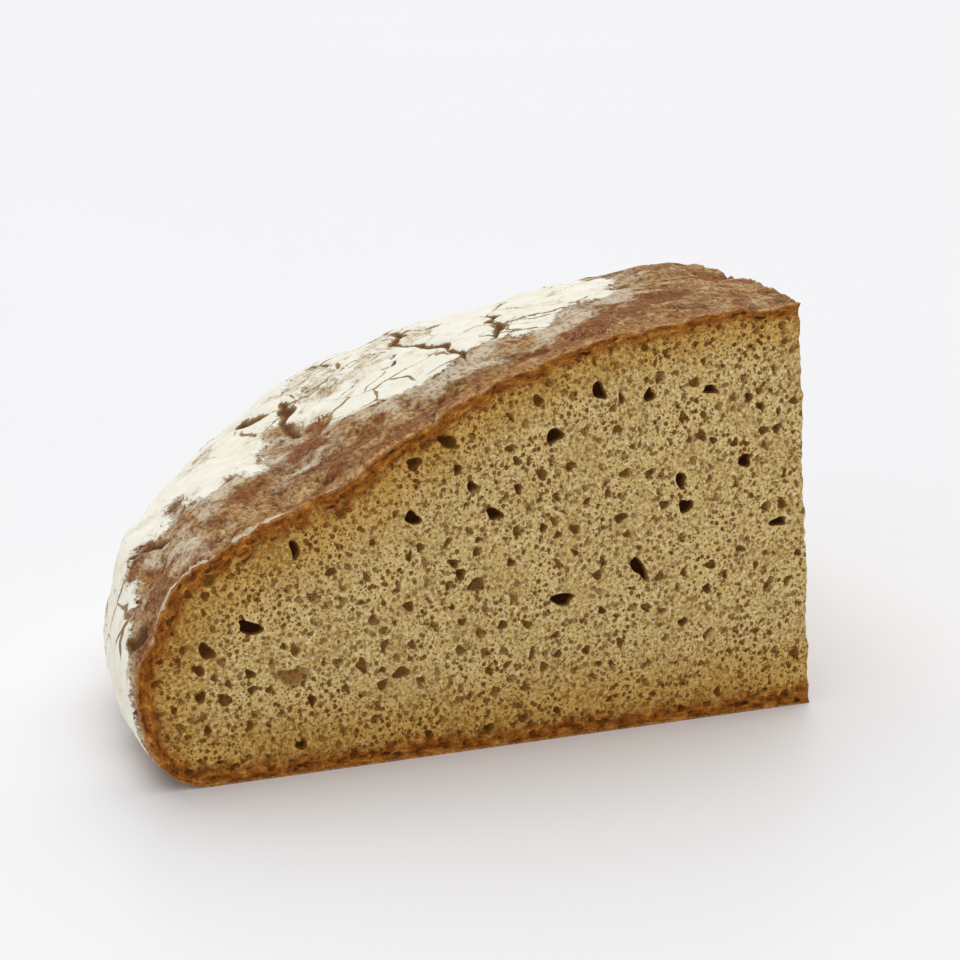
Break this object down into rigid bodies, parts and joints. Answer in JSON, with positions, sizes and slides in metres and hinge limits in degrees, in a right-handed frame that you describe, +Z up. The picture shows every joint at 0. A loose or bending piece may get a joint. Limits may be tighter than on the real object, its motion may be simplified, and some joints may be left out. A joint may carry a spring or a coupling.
{
  "type": "rye bread loaf quarter",
  "caption": "Quarter of a large round floured rye loaf: domed brown crust with cracked flour plates and straight cut faces of dense grey-brown crumb.",
  "frame": {"origin": "middle of the bounding box at the flat base, where the loaf rests on the table", "axes": "+Z up through the loaf's height; the long cut faces -Y and the short cut faces +X"},
  "size_m": [0.1934, 0.1764, 0.0934],
  "materials": {
    "bread": "dry matt crumb on the cuts, baked brown crust dusted with flour on the dome"
  },
  "bodies": {
    "root": {"loaf": "bread"}
  },
  "joints": []
}
